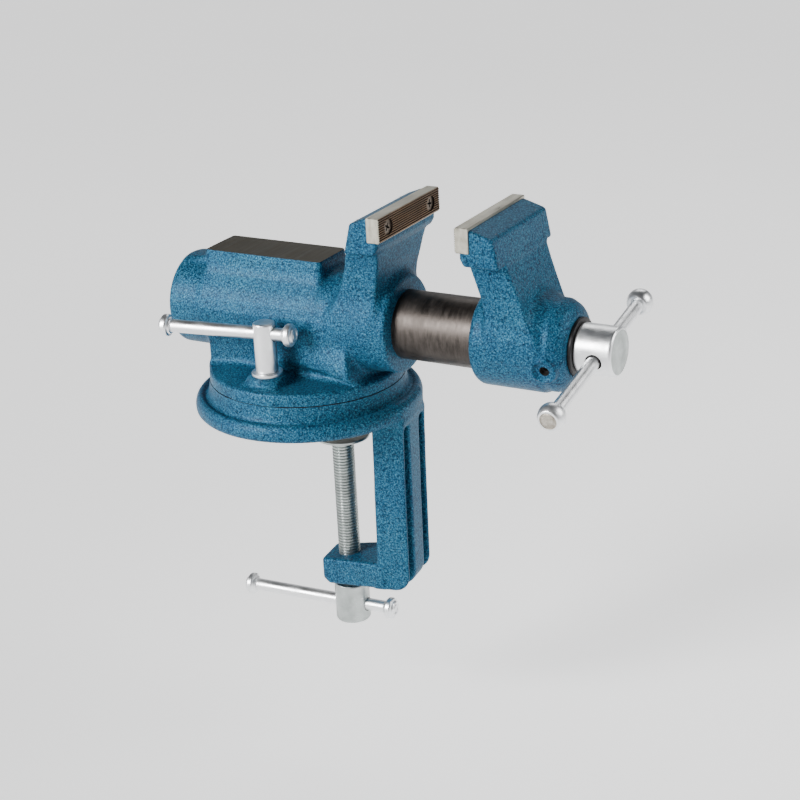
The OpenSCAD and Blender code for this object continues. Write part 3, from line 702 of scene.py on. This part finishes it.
def disc_knob(name, node, turn, at, sign):
    """Stepped disc knob; the riveted end of the bar shows in its outer face."""
    ring = [(3.0, -4), (4.2, -4), (4.9, -3.5), (5.4, -2.5), (6.4, -2.1), (7, -1.3), (7, 1.1),
            (6.5, 1.9), (5.3, 2.2), (5.0, 3.0), (4.3, 3.6), (3.0, 3.4)]
    shape = lathe(soften(ring, 0.5, 3), 72, ring=True)
    build(name, shape, node, [CHROME], turn @ facing(sign), at, 40)


def ball_knob(name, node, turn, at, sign):
    """Ball with both poles cut flat, and the bar's riveted end set in its outer face."""
    ball_r, arc_steps, inner_z = 8, 24, -5.2
    rivet_r, rivet_z = 5.2, 4.7
    profile = [(0, inner_z + 1.6), (3.98, inner_z + 1.6), (3.98, -5.0), (4.4, inner_z)]
    lowest, highest = -math.asin(5.1 / ball_r), math.asin(5.0 / ball_r)
    for i in range(arc_steps + 1):
        a = lowest + (highest - lowest) * i / arc_steps
        profile.append((ball_r * math.cos(a), ball_r * math.sin(a)))
    profile += [(5.9, 5.2), (5.1, 5.2), (4.75, 4.75), (4.4, 4.75), (4.1, 5.05), (2.6, 5.2),
                (0, 5.15)]
    obj = build(name, lathe(profile, 80), node, [CHROME, RIVET], turn @ facing(sign), at, 40)
    outward = np.array(turn @ Vector((sign, 0, 0)))
    for face in obj.data.polygons:
        offset = np.array(face.center) / MM - np.array(at)
        height = offset @ outward
        radial = math.sqrt(max(0.0, offset @ offset - height ** 2))
        if height > rivet_z and radial < rivet_r:
            face.material_index = 1


def hole_cutter(mouth, head_r, turn, at):
    """Cross hole for a T-bar, opened out where it meets the round head."""
    half = [(BAR_HOLE_R, head_r * 0.86), (mouth, head_r * 1.06), (mouth, head_r * 1.6),
            (0, head_r * 1.6)]
    profile = [(r, -t) for r, t in reversed(half)] + half
    return moved(lathe(profile, 48), turn @ TO_X, at)


def handles():
    """Each T-bar has its length, and how far its middle stands off its hole at rest."""
    for name, turn, at, length, shift, knob, ends in (
            ("main", MAIN_TURN, MAIN_AT, 130.0, -7.6, ball_knob, ("low", "high")),
            ("lock", LOCK_TURN, LOCK_AT, 82.4, -24.7, disc_knob, ("long", "short")),
            ("clamp", CLAMP_TURN, CLAMP_AT, 102.5, -23.65, disc_knob, ("long", "short"))):
        middle = at + turn @ Vector((shift, 0, 0))
        t_bar(name + "_handle_bar", length, name + "_bar", turn, middle)
        for end, sign in zip(ends, (-1, 1)):
            spot = middle + turn @ Vector((sign * length / 2, 0, 0))
            knob(f"{name}_handle_knob_{end}", f"{name}_knob_{end}", turn, tuple(spot), sign)


# ---------------------------------------------------------------- screws

def threaded(radius, low, high, pitch, ease):
    """Rows of a thread between two heights, fading in and out over a short ease length."""
    rows_per_pitch = 8
    count = int(round((high - low) / pitch * rows_per_pitch))
    rows = []
    for i in range(count + 1):
        height = low + (high - low) * i / count
        near = min(height - low, high - height)
        rows.append((radius, height, min(1.0, near / ease)))
    return rows


def plain(profile):
    """Rows of a part without a thread."""
    return [(radius, height, 0) for radius, height in profile]


def evenly(radius, low, high):
    """Profile of a plain cylinder, close enough together to shade well around a cross hole."""
    step = 0.8
    count = max(1, int(round((high - low) / step)))
    return [(radius, low + (high - low) * i / count) for i in range(count + 1)]


def main_screw():
    """Trapezoidal thread, plain neck with the set screw's groove, and round head."""
    head_face_x = 210.2
    rows = plain([(0, -17), (6.5, -17), (7.2, -16)])
    rows += threaded(SCREW_R, -15.4, 160, SCREW_PITCH, 3.0)
    rows += plain([(SCREW_R, 172.1), (8.9, 172.3), (6.85, 172.5), (6.85, 176.9), (8.9, 177.1),
                   (SCREW_R, 177.3), (SCREW_R, 187.2), (13.9, 187.2), (14.5, 187.5)])
    rows += plain(evenly(HEAD_R, 188.1, 208.9))
    rows += plain([(14.4, 209.5), (13.8, 209.95), (13.1, head_face_x), (8, head_face_x),
                   (0, head_face_x)])
    bore = hole_cutter(5.6, HEAD_R, MAIN_TURN, MAIN_AT)
    obj = build("main_screw_turned", turned(rows, 72, SCREW_PITCH, 1.9), "main_screw",
                [CHROME, CUT_STEEL, SATIN], TO_X, (0, 0, AXIS_Z), 30, [bore])
    for face in obj.data.polygons:
        if face.center.x > (head_face_x - 0.05) * MM:
            face.material_index = 2


def lock_screw():
    """Lock screw with its round post, and the washer under the post."""
    at = (LOCK_X, LOCK_Y, 0)
    post = [(0, 22.6), (5.2, 22.6), (6.0, 23.4), (6.0, 34.8), (6.4, 34.8)]
    post += evenly(LOCK_R, 35.2, 64.9) + [(6.5, 65.5), (5.9, 65.8), (3.5, 65.8), (0, 65.8)]
    bore = hole_cutter(4.9, LOCK_R, LOCK_TURN, LOCK_AT)
    build("lock_post", lathe(post, 72), "lock_screw", [CHROME, CUT_STEEL], move=at, angle=30,
          cuts=[bore])
    ring = soften([(6.1, 32.72), (9.6, 32.72), (9.6, 34.7), (6.1, 34.7)], 0.5, 3)
    build("lock_washer_turned", lathe(ring, 72, ring=True), "lock_washer", [CHROME], move=at)


def clamp_screw():
    """Clamp screw with a rounded head, and the pad and the ring on its tip."""
    at = (CLAMP_AT.x, CLAMP_AT.y, 0)
    rows = plain([(0, -150.2), (9.9, -150.2), (10.8, -149.9), (CLAMP_HEAD_R, -149.0)])
    rows += plain(evenly(CLAMP_HEAD_R, -148.4, -124.6))
    rows += plain([(11.0, -123.9), (10.2, -123.5), (6.6, -123.5)])
    rows += threaded(CLAMP_R, -123.0, -26.0, CLAMP_PITCH, 1.2)
    rows += plain([(6.6, -25.2), (6.1, -24.85), (4.95, -24.85), (4.95, -21.8), (4.2, -21.75),
                   (4.2, -20.85), (4.95, -20.8), (4.7, -20.3), (0, -20.2)])
    bore = hole_cutter(4.8, CLAMP_HEAD_R, CLAMP_TURN, CLAMP_AT)
    build("clamp_screw_threaded", turned(rows, 60, CLAMP_PITCH, 1.15), "clamp_screw",
          [SATIN, CUT_STEEL], move=at, angle=30, cuts=[bore])
    pad = [(5.06, -24.7), (9.6, -24.7), (10.0, -24.3), (10.2, -23.4), (11.0, -22.9),
           (16.2, -22.0), (17.0, -21.9), (17.5, -21.5), (17.5, -20.4), (17.1, -19.95),
           (16.6, -19.9), (8.9, -19.9), (8.5, -20.2), (8.5, -21.8), (5.06, -21.8)]
    build("clamp_pad_turned", lathe(pad, ring=True), "clamp_pad", [SATIN], move=at)
    clip = soften([(4.25, -21.68), (7.2, -21.68), (7.2, -20.92), (4.25, -20.92)], 0.15, 2)
    build("pad_clip_ring", lathe(clip, 64, ring=True), "pad_circlip", [BLACK], move=at)


def slide():
    """Slide tube with its guide slot, thrust washer, rear cap and the hub's set screw."""
    on_axis = (0, 0, AXIS_Z)
    wall_r, rear_x, edge = 16, -27, 0.6
    tube = [(wall_r, rear_x), (TUBE_R - edge, rear_x), (TUBE_R, rear_x + edge),
            (TUBE_R, SEAT_END_X - edge), (TUBE_R - edge, SEAT_END_X), (wall_r, SEAT_END_X)]
    slot = block((-40, -6, AXIS_Z - 25), (80.8, 6, AXIS_Z - 8))
    build("slide_tube_turned", lathe(tube, 128, ring=True), "slide_tube",
          [TUBE_STEEL, CUT_STEEL], TO_X, on_axis, 30, [slot])
    washer = soften([(9.05, 184.92), (17.5, 184.92), (17.5, 187.08), (9.05, 187.08)], 0.35, 3)
    build("thrust_washer_ring", lathe(washer, ring=True), "thrust_washer", [BLACK],
          TO_X, on_axis)
    cap = [(0, -81), (17.5, -81), (18.4, -80.6), (19.4, -80.6), (20.2, -81), (22.9, -81),
           (23.5, -80.5), (23.5, -78.1), (0, -78.1)]
    build("rear_cap_moulded", lathe(cap), "rear_cap", [RUBBER], TO_X, on_axis)
    tilt = Matrix.Rotation(math.radians(90) + SET_TILT, 3, "X")
    at = (SET_X, 0, AXIS_Z)
    screw = [(0, 7.1), (1.7, 7.1), (2, 7.4), (2, 11.5), (3, 11.5), (3, 24.1), (2.6, 24.5),
             (0, 24.5)]
    hex_socket = lathe([(0, 21.4), (1.9, 21.4), (1.9, 26), (0, 26)], 6)
    build("hub_set_screw_cut", lathe(screw, 48), "hub_set_screw", [BLACK, CUT_STEEL], tilt, at,
          30, [moved(hex_socket, tilt, at)])


# ---------------------------------------------------------------- jaw plates

def plate_outline():
    """Section of a serrated plate as (x, z) pairs, with its clamping face at x = 0."""
    ridges, margin, valley, edge = 10, 0.7, -0.6, 0.4
    pitch = (PLATE_TOP - PLATE_LOW - 2 * margin) / ridges
    outline = [(-PLATE_T, PLATE_LOW + edge), (-PLATE_T + edge, PLATE_LOW),
               (valley - edge, PLATE_LOW), (valley, PLATE_LOW + edge)]
    for i in range(ridges):
        base = PLATE_LOW + margin + pitch * i
        outline += [(valley, base), (0.0, base + 0.37 * pitch), (0.0, base + 0.63 * pitch)]
    return outline + [(valley, PLATE_TOP - margin), (valley, PLATE_TOP - 0.3),
                      (valley - 0.3, PLATE_TOP), (-PLATE_T + edge, PLATE_TOP),
                      (-PLATE_T, PLATE_TOP - edge)]


def plate_shape(face, sign):
    """The section drawn out along Y, with its ends slightly chamfered."""
    chamfer, half_t, half_h = 0.3, PLATE_T / 2, (PLATE_TOP - PLATE_LOW) / 2
    outline = plate_outline()
    count = len(outline)
    points = []
    for y, inset in ((-PLATE_HALF, chamfer), (chamfer - PLATE_HALF, 0.0),
                     (PLATE_HALF - chamfer, 0.0), (PLATE_HALF, chamfer)):
        for u, v in outline:
            x = face + sign * (-half_t + (u + half_t) * (1 - inset / half_t))
            points.append((x, y, PLATE_MID_Z + (v - PLATE_MID_Z) * (1 - inset / half_h)))
    faces = [list(range(count)), [3 * count + i for i in range(count)][::-1]]
    for row in range(3):
        near, far = row * count, (row + 1) * count
        faces += [[near + i, near + (i + 1) % count, far + (i + 1) % count, far + i]
                  for i in range(count)]
    return points, faces


def jaw_plates():
    """Serrated plates with screw pockets. The ridges and their crests have their own steel."""
    for name, face, sign in (("fixed", FIXED_FACE_X, 1), ("moving", MOVING_FACE_X, -1)):
        inward = facing(-sign)
        pocket = lathe([(0, -3), (4.75, -3), (4.75, 1.0), (2.55, 4.0), (2.55, 12), (0, 12)], 64)
        pockets = [moved(pocket, inward, (face, y, PLATE_MID_Z))
                   for y in (-PLATE_SCREW_Y, PLATE_SCREW_Y)]
        obj = build(name + "_plate_cut", plate_shape(face, sign), name + "_jaw_plate",
                    [PLATE_STEEL, TOOTH_STEEL, CREST_STEEL], angle=20, cuts=pockets)
        for polygon in obj.data.polygons:
            depth = (face - polygon.center.x / MM) * sign
            within = abs(polygon.center.y / MM) < PLATE_HALF - 0.2
            if depth < 0.62 and within and abs(polygon.normal.y) < 0.5:
                polygon.material_index = 2 if abs(polygon.normal.x) > 0.95 else 1
        plate_screws(name, face, inward)


def plate_screws(name, face, inward):
    """Two countersunk screws with cross recesses, each turned by its own angle."""
    screw = [(0, 1.0), (4.2, 1.0), (4.6, 1.15), (4.68, 1.4), (2.5, 3.95), (2.5, 20.8), (0, 21)]
    arm = block((-2.5, -0.55, -2), (2.5, 0.55, 3.0))
    shapes, recesses = [], []
    for y, spin in ((-PLATE_SCREW_Y, 0.5), (PLATE_SCREW_Y, 0.15)):
        at = (face, y, PLATE_MID_Z)
        shapes.append(moved(lathe(screw, 56), inward, at))
        for quarter in range(2):
            turn = inward @ Matrix.Rotation(spin + quarter * math.pi / 2, 3, "Z")
            recesses.append(moved(arm, turn, at))
    build(name + "_plate_screw_pair", merged(shapes), name + "_plate_screws",
          [SCREW_STEEL, BLACK], angle=30, cuts=recesses)


def kept_nodes():
    """CAD nodes that are hidden inside keep their shape and get a finished material."""
    for node, material in (("main_nut", BRASS), ("nut_bolt", BLACK), ("pivot_bolt", SATIN),
                           ("pivot_washer", SATIN), ("lock_shoe", BRASS), ("tube_pin", BLACK),
                           ("recess_plug", SATIN)):
        mesh = frame["nodes"][node].data
        mesh.materials.clear()
        mesh.materials.append(material)


# ---------------------------------------------------------------- camera, floor and light

def camera():
    azimuth, elevation, roll = (math.radians(a) for a in (29.73, 21.56, -2.94))
    back = Vector((math.sin(azimuth) * math.cos(elevation),
                   -math.cos(azimuth) * math.cos(elevation), math.sin(elevation)))
    level = (-back).cross(Vector((0, 0, 1))).normalized()
    upright = level.cross(-back)
    right = level * math.cos(roll) + upright * math.sin(roll)
    up = upright * math.cos(roll) - level * math.sin(roll)
    cam = bpy.data.objects.new("Camera", bpy.data.cameras.new("Camera"))
    cam.data.sensor_width = 36
    cam.data.lens = 82.77
    cam.data.clip_end = 30
    cam.matrix_world = Matrix((right, up, back)).transposed().to_4x4()
    cam.matrix_world.translation = Vector((0.58506, -0.91024, 0.42375))
    bpy.context.collection.objects.link(cam)
    bpy.context.scene.camera = cam


def floor():
    """Pale studio floor, low enough for the clamp screw's whole travel."""
    size, height = 7.0, -0.228
    g = Graph("pale_floor", Roughness=0.9, Specular_IOR_Level=0.2, Emission_Strength=0.8,
              Emission_Color=(1, 1, 1, 1))
    g.wire(g.ramp(g.noise(3.0, 2.0), [(0.3, rgb(246, 246, 246)), (0.7, rgb(250, 250, 250))]),
           "Base Color")
    mesh = bpy.data.meshes.new("studio_floor")
    mesh.from_pydata([(-size, -size, height), (size, -size, height), (size, size, height),
                      (-size, size, height)], [], [(0, 1, 2, 3)])
    mesh.materials.append(g.material)
    place_mesh("studio_floor", mesh)


def aimed(light, way):
    """An object for the light, shining along the given direction."""
    obj = bpy.data.objects.new(light.name, light)
    obj.rotation_euler = Vector(way).to_track_quat("-Z", "Y").to_euler()
    bpy.context.collection.objects.link(obj)
    return obj


def area_light(name, at, target, size, power, spread=180):
    light = bpy.data.lights.new(name, "AREA")
    light.shape = "RECTANGLE"
    light.size, light.size_y = size
    light.energy = power
    light.spread = math.radians(spread)
    aimed(light, Vector(target) - Vector(at)).location = at


def sky():
    """Soft world light, bright near the horizon and darker above and towards +X, so that the
    light clearly comes from the left."""
    world = bpy.data.worlds.new("studio")
    bpy.context.scene.world = world
    world.use_nodes = True
    tree = world.node_tree
    place = tree.nodes.new("ShaderNodeTexCoord").outputs["Generated"]
    split = tree.nodes.new("ShaderNodeSeparateXYZ")
    tree.links.new(place, split.inputs[0])
    ramp = tree.nodes.new("ShaderNodeValToRGB")
    tree.links.new(split.outputs["Z"], ramp.inputs[0])
    stops = ramp.color_ramp.elements
    stops[0].position, stops[0].color = 0.0, (0.5, 0.51, 0.53, 1)
    stops[1].position, stops[1].color = 0.6, (0.06, 0.063, 0.067, 1)
    across = tree.nodes.new("ShaderNodeMapRange")
    tree.links.new(split.outputs["X"], across.inputs["Value"])
    for name, value in (("From Min", -0.6), ("From Max", 0.7), ("To Min", 1.1), ("To Max", 0.6)):
        across.inputs[name].default_value = value
    background = tree.nodes["Background"]
    tree.links.new(ramp.outputs[0], background.inputs[0])
    tree.links.new(across.outputs["Result"], background.inputs[1])


def studio():
    sky()
    sun = bpy.data.lights.new("key", "SUN")
    sun.energy = 3.1
    sun.angle = math.radians(24)
    aimed(sun, (0.46, 0.80, -0.52))
    middle = (0.06, 0, 0.03)
    area_light("softbox_left", (-0.28, -0.46, 0.24), (-0.01, 0, 0.075), (0.35, 0.4), 0.55, 55)
    area_light("softbox_front", (0.25, -1.5, 0.5), middle, (0.4, 0.9), 3)
    area_light("fill_right", (0.75, 0.2, 0.42), (0.16, 0, 0.1), (0.45, 0.45), 3.7)
    area_light("rim", (-0.2, 1.2, 1.1), middle, (1.0, 0.6), 5)


castings()
handles()
main_screw()
lock_screw()
clamp_screw()
slide()
jaw_plates()
kept_nodes()
camera()
floor()
studio()
